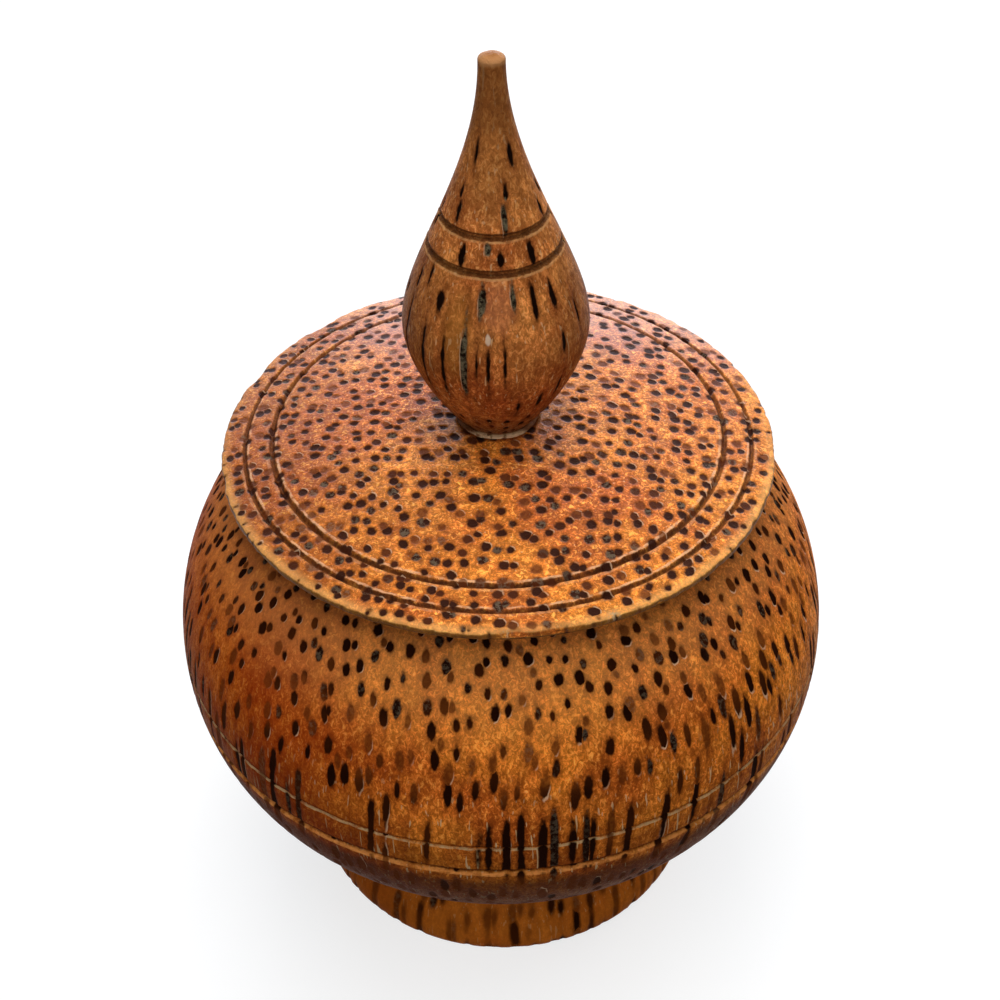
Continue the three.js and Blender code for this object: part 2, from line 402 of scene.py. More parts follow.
def lid_outline():
    """From the middle of the spigot's end out to the flange's edge, and over the dome to the tenon hole."""
    edge = LID_RADIUS - LID_EDGE_ROUNDING
    spigot_face = SPIGOT_RADIUS - SPIGOT_CHAMFER
    spigot = [(0, SPIGOT_BOTTOM)]
    spigot += straight(spigot[-1], (spigot_face, SPIGOT_BOTTOM), LID_UNDERSIDE_STEPS)
    spigot += straight(spigot[-1], (SPIGOT_RADIUS, SPIGOT_BOTTOM + SPIGOT_CHAMFER), 1)
    spigot += straight(spigot[-1], (SPIGOT_RADIUS, FLANGE_UNDERSIDE), SPIGOT_WALL_STEPS)
    flange = straight(spigot[-1], (edge, FLANGE_UNDERSIDE), LID_UNDERSIDE_STEPS)
    low_corner = (LID_RADIUS, FLANGE_UNDERSIDE + LID_EDGE_ROUNDING)
    flange += bend(flange[-1], LID_EDGE_PULLS, low_corner, LID_EDGE_STEPS)
    flange += straight(flange[-1], (LID_RADIUS, LID_TOP_EDGE - LID_EDGE_ROUNDING), FACE_STEPS)
    radii = [edge - (edge - SEAT[RADIUS]) * step / DOME_STEPS for step in range(DOME_STEPS + 1)]
    dome = cut_grooves([(radius, lid_dome_height(radius)) for radius in radii], RADIUS, LID_GROOVES)
    seat = [SEAT, (TENON_HOLE[RADIUS], SEAT[HEIGHT]), TENON_HOLE, (0, TENON_HOLE[HEIGHT])]
    return spigot + flange + dome + seat


def finial_outline():
    """From the middle of the tenon's end up the ball and spire to the tip."""
    tenon = [(0, TENON[HEIGHT]), TENON, (TENON[RADIUS], NECK[HEIGHT])]
    ball = [NECK, *bend(NECK, BALL_PULLS, BALL, BALL_STEPS)]
    spire = bend(BALL, SPIRE_PULLS, SPIRE_END, SPIRE_STEPS)
    drop = cut_grooves([*ball, *spire], HEIGHT, FINIAL_GROOVES)
    tip = bend(SPIRE_END, TIP_PULLS, (0, TIP_HEIGHT), TIP_STEPS)
    return tenon + drop + tip


def bead_outline():
    start = (BEAD_INNER_RADIUS, BEAD_BOTTOM)
    base = straight(start, BEAD_EDGE, FACE_STEPS)
    return [start, *base, *bend(BEAD_EDGE, BEAD_PULLS, BEAD_TOP, BEAD_STEPS), start]


# Finishes

class Recipe:
    """A node tree being filled in. Each call adds a node or a few and gives back the last one's output."""

    def __init__(self, tree):
        self.tree = tree

    def add(self, kind, inputs=(), output=0, **settings):
        made = self.tree.nodes.new(kind)
        for name, value in settings.items():
            setattr(made, name, value)
        for name, value in dict(inputs).items():
            if isinstance(value, bpy.types.NodeSocket):
                self.tree.links.new(value, made.inputs[name])
            else:
                made.inputs[name].default_value = value
        return made.outputs[output] if made.outputs else None

    def number(self, operation, *values):
        return self.add("ShaderNodeMath", enumerate(values), operation=operation)

    def plus(self, one, other):
        return self.number("ADD", one, other)

    def minus(self, one, other):
        return self.number("SUBTRACT", one, other)

    def times(self, first, *others):
        for other in others:
            first = self.number("MULTIPLY", first, other)
        return first

    def least(self, one, other):
        return self.number("MINIMUM", one, other)

    def most(self, one, other):
        return self.number("MAXIMUM", one, other)

    def scaled(self, value, share, start):
        """A start value, and a share of another on top of it."""
        return self.number("MULTIPLY_ADD", value, share, start)

    def swayed(self, value, cloud, reach):
        """A value that follows a cloud up and down, by its reach in all."""
        return self.scaled(self.minus(cloud, 0.5), reach, value)

    def ramp(self, value, low, high, to_low=0.0, to_high=1.0):
        """Smooth step of a value between two levels, which may be given either way round."""
        inputs = {"Value": value, "From Min": low, "From Max": high, "To Min": to_low, "To Max": to_high}
        return self.add("ShaderNodeMapRange", inputs, interpolation_type="SMOOTHSTEP")

    def vector(self, operation, *values):
        return self.add("ShaderNodeVectorMath", enumerate(values), operation=operation)

    def measure(self, operation, *values):
        """A vector step whose result is a number, such as a length."""
        return self.add("ShaderNodeVectorMath", enumerate(values), "Value", operation=operation)

    def parts(self, vector):
        return self.add("ShaderNodeSeparateXYZ", {0: vector}).node.outputs

    def grey(self, level):
        return self.add("ShaderNodeCombineXYZ", {0: level, 1: level, 2: level})

    def shortened(self, place, share):
        """A place with its height shrunk to a share, so that a pattern on it runs long up the grain."""
        return self.vector("MULTIPLY", place, (1.0, 1.0, share))

    def from_axis(self, place):
        """Distance from the upright axis."""
        return self.measure("LENGTH", self.shortened(place, 0.0))

    def cloud(self, place, scale, detail=2.0, roughness=0.5, distortion=0.0, output="Fac"):
        """Soft noise from 0 to 1, its scale counted in clouds to the unit of the place."""
        inputs = {"Vector": place, "Scale": scale, "Detail": detail, "Roughness": roughness}
        inputs["Distortion"] = distortion
        return self.add("ShaderNodeTexNoise", inputs, output)

    def tint(self, share, below, above, blend_type="MIX"):
        """One colour laid over another."""
        inputs = {0: share, 6: below, 7: above}
        return self.add("ShaderNodeMix", inputs, 2, data_type="RGBA", blend_type=blend_type)


def tone(code):
    """A colour as a maker reads it off a swatch, such as 'b4652d', as linear light."""
    levels = [int(code[at:at + 2], 16) / 255 for at in (0, 2, 4)]
    return tuple(v / 12.92 if v <= 0.04045 else ((v + 0.055) / 1.055) ** 2.4 for v in levels) + (1.0,)


def placed_streaks(recipe, in_piece, streaks):
    """Distance outwards from the nearest of some placed streaks in mm, whether that one is filled grey, and
    a pale line along the left side of a filled one."""
    gap, grey, line = FAR_FROM_STREAKS, 0.0, 0.0
    for direction, middle, half_width, half_length, filled in streaks:
        angle = math.radians(direction)
        outwards = Vector((math.cos(angle), math.sin(angle), 0))
        sideways = Vector((-outwards.y, outwards.x, 0)) / half_width
        across = recipe.measure("DOT_PRODUCT", in_piece, sideways)
        along = recipe.scaled(recipe.parts(in_piece)[2], 1 / half_length, -middle / half_length)
        behind = recipe.least(recipe.measure("DOT_PRODUCT", in_piece, outwards * BEHIND_STRETCH), 0.0)
        reach = recipe.add("ShaderNodeCombineXYZ", {0: across, 1: along, 2: behind})
        here = recipe.scaled(recipe.measure("LENGTH", reach), half_width, -half_width)
        if filled:
            grey = recipe.most(grey, recipe.ramp(here, *FILLING_EDGE))
            on_left = recipe.times(recipe.ramp(across, *LINE_SIDE), recipe.ramp(here, *LINE_EDGE))
            line = recipe.most(line, on_left)
        gap = recipe.least(gap, here)
    return gap, grey, line


def fibre_bundles(recipe, position, blank):
    """The upright fibre bundles of palm. Of the nearest one: distance outwards from its edge in mm, three
    random numbers of its own, which side of it this is, how surely it is a placed one, and the grey filling
    and pale line of a placed one. With them the place in the piece and in its blank, in mm."""
    in_piece = recipe.vector("MULTIPLY", position, (1 / MM,) * 3)
    in_blank = recipe.vector("ADD", in_piece, blank.offset)
    drift = recipe.cloud(in_blank, 0.03, detail=1.0, output="Color")
    swing = (2 * BUNDLE_LEAN, 2 * BUNDLE_LEAN, 0)
    sideways = recipe.vector("MULTIPLY_ADD", drift, swing, (-BUNDLE_LEAN, -BUNDLE_LEAN, 0))
    bent = recipe.vector("ADD", in_blank, sideways)
    inputs = {"Vector": bent, "Scale": 1 / blank.spacing, "Randomness": BUNDLE_UNEVENNESS}
    distance = recipe.add("ShaderNodeTexVoronoi", inputs, "Distance", voronoi_dimensions="2D")
    own = recipe.parts(distance.node.outputs["Color"])
    girth = recipe.ramp(own[0], 0.0, 1.0, *blank.bundle_radius)
    scattered_gap = recipe.scaled(distance, blank.spacing, recipe.times(girth, -1.0))
    scattered_gap = recipe.plus(scattered_gap, blank.cleared(recipe, in_piece))
    placed_gap, grey, line = placed_streaks(recipe, in_piece, blank.streaks)
    rough_edge = recipe.cloud(recipe.shortened(in_blank, 0.4), 1.5, detail=2.0, roughness=0.6)
    gap = recipe.swayed(recipe.least(scattered_gap, placed_gap), rough_edge, BUNDLE_RAGGEDNESS)
    away = recipe.vector("SUBTRACT", bent, distance.node.outputs["Position"])
    side = recipe.measure("DOT_PRODUCT", away, blank.lit_side)
    placed = recipe.ramp(placed_gap, *PLACED_EDGE)
    return SimpleNamespace(gap=gap, own=own, side=side, placed=placed, grey=grey, line=line,
                           in_piece=in_piece, in_blank=in_blank)


def finished_bundles(recipe, blank):
    """The bundles as the finish shows them. Adds how sharp the wood is here, how dark the nearest bundle is
    and how strongly it is seen, whether this is inside it, and the halo round it."""
    bundles = fibre_bundles(recipe, recipe.add("ShaderNodeTexCoord", output="Object"), blank)
    bundles.sharp = recipe.scaled(blank.blurred(recipe, bundles.in_piece), -BLUR, 1.0)
    bundles.gap = recipe.times(bundles.gap, bundles.sharp)
    patch = recipe.cloud(bundles.in_blank, 0.07)
    strength = recipe.swayed(bundles.own[1], patch, blank.ghosts)
    strength = recipe.plus(strength, blank.darker(recipe, bundles.in_piece))
    bundles.darkness = recipe.most(recipe.ramp(strength, *blank.strength), bundles.placed)
    bundles.seen = recipe.ramp(bundles.darkness, 0.0, 0.5, blank.faintest, 1.0)
    bundles.inside = recipe.times(recipe.ramp(bundles.gap, *blank.bundle_edge), bundles.seen)
    wide_halo = recipe.times(recipe.ramp(bundles.gap, WIDE_HALO, 0.0), WIDE_HALO_SHARE)
    narrow_halo = recipe.ramp(bundles.gap, NARROW_HALO, 0.0)
    bundles.halo = recipe.scaled(narrow_halo, 1 - WIDE_HALO_SHARE, wide_halo)
    return bundles


def grainy_ground(recipe, blank, bundles):
    """The wood between the bundles: large patches, a halo round each bundle, fine grain with bright flecks,
    and thin pale fibres up the grain. Gives its colour and how high the grain stands."""
    in_blank, sharp = bundles.in_blank, bundles.sharp
    patches = recipe.ramp(recipe.cloud(in_blank, 0.08, detail=3.0, roughness=0.6), 0.36, 0.64)
    ground = recipe.tint(patches, tone(blank.deep), tone(blank.light))
    ground = recipe.tint(recipe.times(bundles.halo, HALO_SHARE), ground, tone(blank.halo))
    worms = recipe.cloud(recipe.shortened(in_blank, 0.6), 2.7, detail=3.5, roughness=0.66, distortion=0.9)
    grain = recipe.swayed(0.5, recipe.ramp(worms, 0.25, 0.75), sharp)
    away_from_halo = recipe.ramp(bundles.halo, 0.5, 0.0, 0.15, blank.flecks)
    flecks = recipe.times(recipe.ramp(worms, 0.49, 0.69), away_from_halo, sharp)
    ground = recipe.tint(flecks, ground, tone(blank.fleck))
    mottled = recipe.ramp(recipe.cloud(in_blank, 0.42), 0.34, 0.66, 0.86, 1.13)
    streaky = recipe.cloud(recipe.shortened(in_blank, 0.12), 1.5, detail=3.0, roughness=0.62)
    mottled = recipe.times(mottled, recipe.ramp(streaky, 0.32, 0.68, 0.84, 1.13))
    shade = recipe.times(recipe.ramp(grain, 0.0, 1.0, *blank.grain), mottled)
    ground = recipe.tint(1.0, ground, recipe.grey(shade), "MULTIPLY")
    fibres = recipe.ramp(recipe.cloud(recipe.shortened(in_blank, 0.05), 3.2, detail=1.0), *blank.fibres)
    at_height = recipe.ramp(recipe.parts(bundles.in_piece)[2], *blank.fibre_heights)
    return recipe.tint(recipe.times(fibres, at_height, sharp), ground, tone(PALE_FIBRE)), grain


def bundle_colour(recipe, blank, bundles):
    """Near black to brown, a few of them dusty, and placed ones partly filled with grey."""
    bundle = recipe.tint(bundles.darkness, tone(blank.faint_bundle), tone(blank.bundle))
    dust = recipe.ramp(recipe.cloud(bundles.in_blank, 2.2, detail=3.0, roughness=0.7), 0.45, 0.6)
    dust = recipe.times(dust, recipe.ramp(bundles.own[2], 0.72, 0.9), blank.dust)
    dust = recipe.times(dust, recipe.minus(1.0, bundles.placed))
    filling = recipe.ramp(recipe.cloud(bundles.in_blank, 1.6, detail=3.0, roughness=0.7), 0.38, 0.62)
    return recipe.tint(recipe.most(dust, recipe.times(filling, bundles.grey)), bundle, tone(blank.filling))


def crescent_highlights_and_lines(recipe, bundles):
    """Where a thin painted highlight follows the lit side of some bundles, and a pale line the left side of
    a filled placed one.
    """
    on_edge = recipe.ramp(recipe.number("ABSOLUTE", bundles.gap), *CRESCENT_EDGE)
    on_lit_side = recipe.ramp(bundles.side, 0.2, 0.42)
    for_some = recipe.ramp(bundles.own[2], 0.36, 0.2)
    not_placed = recipe.minus(bundles.seen, bundles.placed)
    where_sharp = recipe.ramp(bundles.sharp, 0.9, 1.0)
    crescent = recipe.times(on_edge, on_lit_side, for_some, not_placed, where_sharp)
    return recipe.most(crescent, recipe.times(bundles.line, on_edge))


def palm_wood(name, blank):
    """Waxed palm wood: dark upright bundles in a fine grainy ground, seen as dots across the end grain
    and as streaks along it."""
    wood = bpy.data.materials.new(name)
    wood.use_nodes = True
    tree = wood.node_tree
    shader = tree.nodes["Principled BSDF"]
    recipe = Recipe(tree)
    bundles = finished_bundles(recipe, blank)
    in_piece, in_blank = bundles.in_piece, bundles.in_blank
    radius = recipe.from_axis(in_piece)

    # Colour: the ground, its marks and unwaxed faces, then the bundles and their pale edges: painted
    # highlights on the lit side of some, and a pale line along each filled one
    ground, grain = grainy_ground(recipe, blank, bundles)
    ground, groove_dirt_and_shade = blank.marks(recipe, ground, radius, in_piece, in_blank)
    unwaxed = recipe.add("ShaderNodeAttribute", output="Fac", attribute_name="unwaxed")
    ground = recipe.tint(recipe.times(unwaxed, UNWAXED_SHARE), ground, tone(BARE_WOOD))
    colour = recipe.tint(bundles.inside, ground, bundle_colour(recipe, blank, bundles))
    # painted highlights on the lit side of some bundles, with the pale lines along filled streaks
    crescent = crescent_highlights_and_lines(recipe, bundles)
    colour = recipe.tint(recipe.times(crescent, CRESCENT_SHARE), colour, tone(CRESCENT_HIGHLIGHT))
    tree.links.new(colour, shader.inputs["Base Color"])

    # Wax: duller in the bundles, in the grooves' dirt, whose dark colour is painted shade, and on unwaxed
    # faces
    roughness = recipe.ramp(grain, 0.0, 1.0, *WAX_ROUGHNESS)
    roughness = recipe.scaled(recipe.most(bundles.inside, groove_dirt_and_shade), ROUGHER_IN_DIRT, roughness)
    roughness = recipe.scaled(unwaxed, ROUGHER_UNWAXED, roughness)
    tree.links.new(roughness, shader.inputs["Roughness"])
    shader.inputs["Specular IOR Level"].default_value = blank.specular
    shader.inputs["Specular Tint"].default_value = WAX_TINT

    # Fine relief, with tool rings on the unwaxed faces
    across_rings = ragged(recipe, recipe.plus(radius, recipe.parts(in_piece)[2]), in_blank, 0.4)
    rings = recipe.number("SINE", recipe.times(across_rings, TOOL_RING_TURN))
    relief = recipe.scaled(bundles.inside, -BUNDLE_DIP, recipe.times(grain, GRAIN_RISE))
    relief = recipe.scaled(crescent, CRESCENT_RISE, relief)
    relief = recipe.scaled(recipe.times(rings, unwaxed), TOOL_RING_RISE, relief)
    bumped = recipe.add("ShaderNodeBump", {"Strength": 1.0, "Distance": MM, "Height": relief}, "Normal")
    tree.links.new(bumped, shader.inputs["Normal"])
    return wood


def groove_band(recipe, along, grooves, middle, reach):
    """1 in a band that follows each groove. Its middle and reach are counted in half widths of the groove."""
    band = 0.0
    for place, width, _ in grooves:
        across = recipe.scaled(along, 2 / width, -2 * place / width - middle)
        band = recipe.most(band, recipe.ramp(recipe.number("ABSOLUTE", across), reach, reach * 0.45))
    return band


def ragged(recipe, value, in_blank, reach):
    """A coordinate that wavers a little, for edges cut through fibrous wood."""
    wavering = recipe.cloud(recipe.shortened(in_blank, 0.3), 1.1, detail=3.0, roughness=0.65)
    return recipe.swayed(value, wavering, reach)


def patchy(recipe, in_blank, scale, least):
    """Patches between a least share and the whole."""
    return recipe.ramp(recipe.cloud(in_blank, scale, detail=3.0, roughness=0.7), 0.35, 0.6, least, 1.0)


def layers(recipe, colour, *coats):
    """Coats of colour laid on in turn, each as its share, its swatch and a mask or masks."""
    for share, code, *masks in coats:
        for mask in masks:
            share = recipe.times(share, mask)
        colour = recipe.tint(share, colour, tone(code))
    return colour


def bowl_marks(recipe, colour, radius, in_piece, in_blank):
    """Painted shade: redder and darker on the left, darker low down, on the underside and round the waist; a
    painted light band on the shoulder under the lid; painted shade in the grooves and painted highlights on
    their torn lips.
    Gives the colour and where the grooves' painted shade is, which also roughens the wax as dirt, as every
    one of these does."""
    along_x, _, height = recipe.parts(in_piece)
    outside = recipe.ramp(radius, HOLLOW_RADIUS + 0.7, HOLLOW_RADIUS + 1.7)
    torn = patchy(recipe, in_blank, 0.7, 0.25)
    wavering = ragged(recipe, height, in_blank, 0.3)
    low_groove, top_groove = BOWL_GROOVES[:1], BOWL_GROOVES[1:]
    low_groove_dirt_and_shade = groove_band(recipe, wavering, low_groove, 0.4, 1.05)
    low_lip_highlight = groove_band(recipe, wavering, low_groove, -0.95, 0.6)
    top_groove_shade = groove_band(recipe, wavering, top_groove, 0.9, 1.0)
    top_lip_highlight = groove_band(recipe, wavering, top_groove, -0.8, 0.6)
    from_waist = recipe.number("ABSOLUTE", recipe.minus(height, WAIST[HEIGHT] + 0.5))
    colour = layers(
        recipe, colour,
        # painted shade on the left side and a painted light band on the top, then painted shade low down and
        # underneath
        (0.6, BOWL_LEFT_SHADE, recipe.ramp(along_x, -4.0, -26.0)),
        (0.3, BOWL_TOP_LIGHT, recipe.ramp(height, 44.0, 53.0)),
        (0.38, BOWL_LOW_SHADE, recipe.ramp(height, 43.0, 32.0), recipe.ramp(height, 8.0, 14.0, 0.35, 1.0)),
        (0.75, BOWL_UNDERSIDE_SHADE, recipe.ramp(height, 31.0, 29.0), recipe.ramp(height, 12.0, 15.0)),
        (0.4, BOWL_FOOT, recipe.ramp(height, 11.0, 8.0)),
        # painted shade round the waist, under the belly
        (0.55, BOWL_WAIST_SHADE, recipe.ramp(from_waist, 4.0, 1.0)),
        # painted shade in the grooves and painted highlights on their torn lips
        (0.9, BOWL_LOW_GROOVE_SHADE, low_groove_dirt_and_shade, outside),
        (0.9, BOWL_LOW_LIP_HIGHLIGHT, low_lip_highlight, outside, torn),
        (0.5, BOWL_TOP_GROOVE_SHADE, top_groove_shade, outside),
        (0.75, BOWL_TOP_LIP_HIGHLIGHT, top_lip_highlight, outside, torn),
    )
    return colour, low_groove_dirt_and_shade


def lid_marks(recipe, colour, radius, in_piece, in_blank):
    """Painted shade on the left, a painted reflection at the back, a worn pale corner that is partly a
    painted highlight, a dark edge face that is painted shade, with two tufts, and grooves with painted shade
    and painted highlights on their lips that fade towards the back."""
    along_x, along_y, height = recipe.parts(in_piece)
    upper = recipe.ramp(height, LID_TOP_EDGE - 0.3, LID_TOP_EDGE - 0.1)
    torn = patchy(recipe, in_blank, 0.8, 0.1)
    wavering = ragged(recipe, radius, in_blank, 0.35)
    rear_reflection = recipe.times(recipe.ramp(along_y, 6.0, 22.0), recipe.ramp(along_x, -22.0, -8.0))
    worn_corner_highlight = recipe.ramp(wavering, LID_RADIUS - 1.4, LID_RADIUS - 0.2)
    outer_wall = recipe.ramp(radius, LID_RADIUS - 0.45, LID_RADIUS - 0.2)
    below_top = recipe.ramp(ragged(recipe, height, in_blank, 0.3), LID_TOP_EDGE - 0.05, LID_TOP_EDGE - 0.2)
    groove_dirt_and_shade = groove_band(recipe, wavering, LID_GROOVES, 0.0, 1.1)
    deep_groove_shade = groove_band(recipe, wavering, LID_GROOVES, -0.5, 0.6)
    lip_highlight = groove_band(recipe, wavering, LID_GROOVES, -1.35, 0.5)
    far_lip_highlight = groove_band(recipe, wavering, LID_GROOVES, 1.4, 0.6)
    colour = layers(
        recipe, colour,
        # painted shade on the left side
        (0.5, LID_LEFT_SHADE, recipe.ramp(along_x, -4.0, -26.0)),
        # painted reflection of the back window on the rear of the lid
        (0.32, LID_REAR_REFLECTION, rear_reflection, upper),
        # worn pale corner, partly a painted highlight, brightest at the front
        (0.5, LID_WORN_CORNER_HIGHLIGHT, worn_corner_highlight, upper, recipe.ramp(along_y, 4.0, -10.0, 0.3, 1.0)),
        # painted shade in the grooves, and painted highlights on their lips that fade towards the back
        (0.8, LID_GROOVE_SHADE, groove_dirt_and_shade, upper),
        (0.7, LID_GROOVE_DEEP_SHADE, deep_groove_shade, upper, torn),
        (0.7, LID_LIP_HIGHLIGHT, lip_highlight, upper, torn, recipe.ramp(along_y, 6.0, -8.0, 0.3, 1.0)),
        (0.25, LID_LIP_HIGHLIGHT, far_lip_highlight, upper, torn, recipe.ramp(along_y, 6.0, -8.0, 0.2, 1.0)),
        # painted shade on the edge face
        (0.85, LID_EDGE_FACE_SHADE, outer_wall, below_top),
    )
    fibres = recipe.cloud(recipe.shortened(in_blank, 0.3), 3.5, detail=3.0, roughness=0.7)
    frayed = recipe.ramp(fibres, 0.47, 0.53)
    for tuft in LID_TUFTS:
        nearby = recipe.ramp(recipe.measure("DISTANCE", in_piece, tuft), TUFT_REACH, 0.1)
        colour = layers(recipe, colour, (0.7, LID_TUFT, nearby, frayed))
    return colour, groove_dirt_and_shade


def finial_marks(recipe, colour, radius, in_piece, in_blank):
    """Pink and golden patches that are painted highlights, painted shade on the flanks and neck, a darker
    spire, a cut tip, a small pale spot, and painted shade in the grooves with painted highlights on their
    lips.
    """
    along_x, _, height = recipe.parts(in_piece)
    torn = patchy(recipe, in_blank, 0.8, 0.3)
    wavering = ragged(recipe, height, in_blank, 0.22)
    groove_dirt_and_shade = groove_band(recipe, wavering, FINIAL_GROOVES, 0.0, 1.1)
    top_line = groove_band(recipe, wavering, FINIAL_GROOVES, 0.75, 0.55)
    low_line = groove_band(recipe, wavering, FINIAL_GROOVES, -0.6, 0.5)
    lip_highlight = groove_band(recipe, wavering, FINIAL_GROOVES, -1.2, 0.45)
    from_pink_highlight, from_gold_highlight, from_pale_spot = (
        placed_streaks(recipe, in_piece, [patch])[0] for patch in (PINK_HIGHLIGHT_PATCH, GOLD_HIGHLIGHT_PATCH, PALE_SPOT)
    )
    tip_edge = recipe.ramp(ragged(recipe, height, in_blank, 0.5), TIP_HEIGHT - 1.0, TIP_HEIGHT - 0.5)
    tip_face = recipe.ramp(height, TIP_HEIGHT - 0.4, TIP_HEIGHT - 0.2)
    colour = layers(
        recipe, colour,
        # painted highlights: a pink patch in front and a golden one to the left
        (0.35, FINIAL_PINK_HIGHLIGHT, recipe.ramp(from_pink_highlight, 0.5, -0.8)),
        (0.4, FINIAL_GOLD_HIGHLIGHT, recipe.ramp(from_gold_highlight, 0.5, -0.8)),
        # painted shade on the flanks as seen from the front, and under the ball at the neck
        (0.48, FINIAL_FLANK_SHADE, recipe.ramp(recipe.number("ABSOLUTE", along_x), 3.8, 8.2)),
        (0.6, FINIAL_NECK_SHADE, recipe.ramp(height, 70.0, 62.5)),
        (0.3, FINIAL_SPIRE, recipe.ramp(height, 84.0, 90.0)),
        # painted shade in the grooves and painted highlights on their lips
        (0.45, FINIAL_GROOVE_SHADE, groove_dirt_and_shade),
        (0.65, FINIAL_GROOVE_DEEP_SHADE, top_line),
        (0.65, FINIAL_GROOVE_DEEP_SHADE, low_line),
        (0.65, FINIAL_LIP_HIGHLIGHT, lip_highlight, torn),
        (0.5, FINIAL_SPIRE_END, recipe.ramp(height, 90.0, 96.0)),
        (0.8, FINIAL_TIP_EDGE, tip_edge),
        (0.5, FINIAL_TIP, recipe.ramp(radius, 0.9, 0.3), tip_face),
        (0.85, FINIAL_PALE_SPOT, recipe.ramp(ragged(recipe, from_pale_spot, in_blank, 0.3), 0.05, -0.08)),
    )
    return colour, groove_dirt_and_shade


def dried_glue():
    """Dried wood glue, with pale patches on its front as painted light, and dark brown as painted shade
    elsewhere.
    """
    glue = bpy.data.materials.new("dried_glue")
    glue.use_nodes = True
    tree = glue.node_tree
    shader = tree.nodes["Principled BSDF"]
    recipe = Recipe(tree)
    position = recipe.add("ShaderNodeTexCoord", output="Object")
    lumps = recipe.cloud(position, 1.1 / MM, detail=4.0, roughness=0.6)
    # painted light: pale patches only on the front; painted shade of dark brown elsewhere
    front = recipe.ramp(recipe.parts(position)[1], *GLUE_LIT_FRONT, 0.1, 1.0)
    lit_pale = recipe.times(recipe.ramp(lumps, 0.32, 0.5), front)
    tree.links.new(recipe.tint(lit_pale, tone(GLUE_SHADED), tone(GLUE_PALE)), shader.inputs["Base Color"])
    shader.inputs["Roughness"].default_value = GLUE_ROUGHNESS
    shader.inputs["Specular IOR Level"].default_value = GLUE_SPECULAR
    relief = {"Strength": 0.6, "Distance": GLUE_RELIEF, "Height": lumps}
    bumped = recipe.add("ShaderNodeBump", relief, "Normal")
    tree.links.new(bumped, shader.inputs["Normal"])
    return glue


# Relief and wear in the surface itself

def pitted(piece, blank):
    """Sinks the soft bundles a little below the turned surface, where the finish shows them."""
    tree = bpy.data.node_groups.new("sunk_bundles", "GeometryNodeTree")
    tree.interface.new_socket("Geometry", in_out="INPUT", socket_type="NodeSocketGeometry")
    tree.interface.new_socket("Geometry", in_out="OUTPUT", socket_type="NodeSocketGeometry")
    recipe = Recipe(tree)
    surface = recipe.add("NodeGroupInput")
    bundles = fibre_bundles(recipe, recipe.add("GeometryNodeInputPosition"), blank)
    depth = recipe.ramp(bundles.own[1], 0.0, 1.0, *PIT_DEPTHS)
    depth = recipe.times(recipe.ramp(bundles.gap, *PIT_EDGE), depth)
    outwards = recipe.add("GeometryNodeInputNormal")
    offset = recipe.add("ShaderNodeVectorMath", {0: outwards, "Scale": depth}, operation="SCALE")
    moved = recipe.add("GeometryNodeSetPosition", {"Geometry": surface, "Offset": offset})
    recipe.add("NodeGroupOutput", {"Geometry": moved})
    piece.modifiers.new("sunk_bundles", "NODES").node_group = tree
    shaped = piece.evaluated_get(bpy.context.evaluated_depsgraph_get())
    piece.data = bpy.data.meshes.new_from_object(shaped)
    piece.modifiers.clear()
    return piece


def worn(piece, wear, is_hidden):
    """Moves each point of a piece by a wear function of its radius, height and place, in millimetres,
    and notes which points lie on faces that were never waxed."""
    unwaxed = piece.data.attributes.new("unwaxed", "FLOAT", "POINT").data
    for corner in piece.data.vertices:
        place = corner.co / MM
        radius = math.hypot(place.x, place.y)
        unwaxed[corner.index].value = float(is_hidden(radius, place.z))
        inwards, upwards = wear(radius, place.z, place)
        if radius and (inwards or upwards):
            outwards = Vector((place.x, place.y, 0)) / radius
            corner.co = (place - outwards * inwards + Vector((0, 0, upwards))) * MM
    return piece


def bowl_hidden(radius, height):
    """The hollow and the face that the box stands on. The hollow lies well within the outer wall, and the
    waist, which is drawn in under that wall, is left out."""
    arc = SHOULDER_ARC if height > BELLY[HEIGHT] else UNDERSIDE_ARC
    outer_wall = BELLY[RADIUS] - arc + math.sqrt(max(0.0, arc ** 2 - (height - BELLY[HEIGHT]) ** 2))
    within_walls = radius < min(HOLLOW_RADIUS + 0.2, outer_wall - WALL_LEAST)
    clear_of_waist = radius < WAIST[RADIUS] - 0.5 or height > WAIST[HEIGHT] + 3.0
    in_hollow = height > FLOOR_HEIGHT - 0.5 and within_walls and clear_of_waist
    return height < HAIR or in_hollow


def lid_hidden(radius, height):
    """The spigot and the flange's underside."""
    return height < FLANGE_UNDERSIDE + HAIR


def finial_hidden(radius, height):
    """The tenon."""
    return height < NECK[HEIGHT] - HAIR


def bead_hidden(radius, height):
    return False


def near(value, places, reach):
    """1 at one of the places, falling to 0 at the reach."""
    return max(0.0, 1 - min(abs(value - place) for place in places) / reach)


def above(level, place, scale):
    """How far the noise at a place rises above a level."""
    return max(0.0, noise.noise(place * scale) - level)


def bowl_wear(radius, height, place):
    """Torn lower lips of the two grooves."""
    low_groove, top_groove = (groove[0] for groove in BOWL_GROOVES)
    outside = radius > HOLLOW_RADIUS + 1.2
    lips = near(height, [low_groove - 0.4, top_groove - 0.25], BOWL_LIP_REACH) * outside
    rough = noise.noise(place * 1.1) + 0.5 * noise.noise(place * 2.6)
    return BOWL_LIP_TEAR * lips * max(0.0, rough + 0.2), 0


